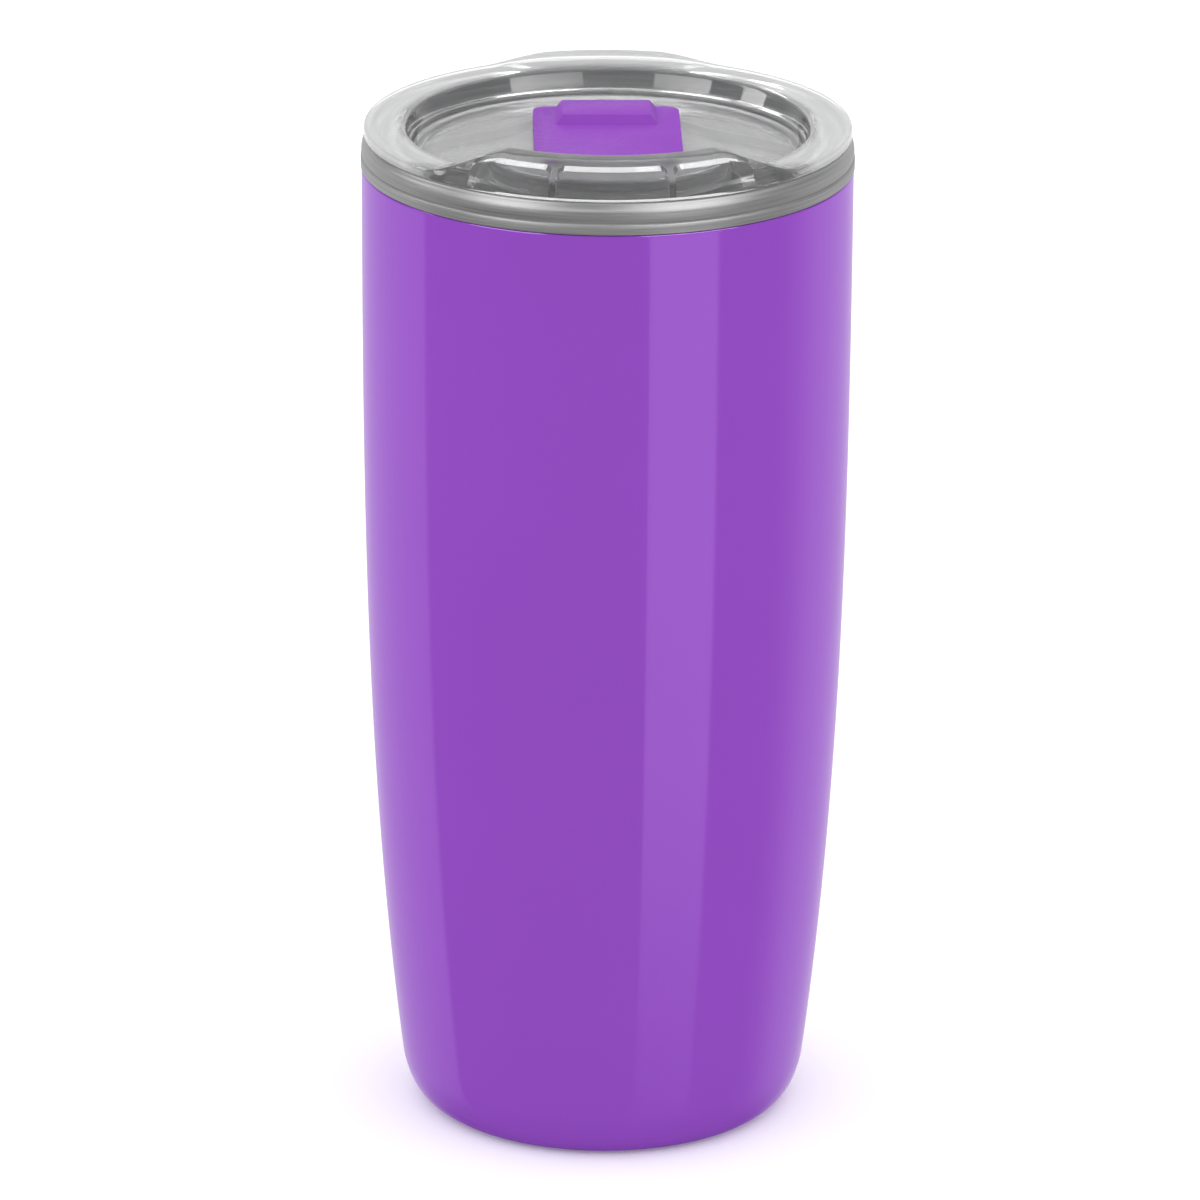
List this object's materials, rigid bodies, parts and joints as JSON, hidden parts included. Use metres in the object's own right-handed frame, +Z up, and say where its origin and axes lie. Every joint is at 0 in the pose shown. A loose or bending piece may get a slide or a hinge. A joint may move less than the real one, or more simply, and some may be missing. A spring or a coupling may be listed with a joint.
{
  "type": "insulated tumbler with lid",
  "caption": "Double-wall vacuum steel tumbler with a narrower base, a bare steel lip, and a clear press-in lid with raised drinking lips and a sliding closure.",
  "frame": {"origin": "centre of the foot ring, on the surface the tumbler stands on", "axes": "+Z up along the tumbler's axis, -Y towards the drinking side, +X to the right of someone facing that side"},
  "size_m": [0.0882, 0.0882, 0.1895],
  "materials": {
    "shell_paint": "gloss",
    "liner_steel": "brushed",
    "base_steel": "brushed",
    "solder": "gloss",
    "getter_alloy": "matte",
    "lid_clear": "clear gloss",
    "silicone": "satin",
    "slider_plastic": "satin"
  },
  "bodies": {
    "cup": {"outer_shell": "shell_paint", "inner_liner": "liner_steel", "outer_base": "base_steel", "base_cover": "base_steel", "seal_bead": "solder", "getter_holder": "base_steel", "getter_pellet": "getter_alloy"},
    "lid": {"lid_body": "lid_clear", "lid_gasket": "silicone"},
    "closure": {"slider": "slider_plastic", "slider_seal": "silicone"}
  },
  "joints": [
    {"name": "lid_lift", "type": "slide", "parent": "cup", "child": "lid", "axis": [0, 0, 1], "range_m": [0, 0.08]},
    {"name": "slider_open", "type": "slide", "parent": "lid", "child": "closure", "axis": [0, 1, 0], "range_m": [0, 0.01]}
  ]
}
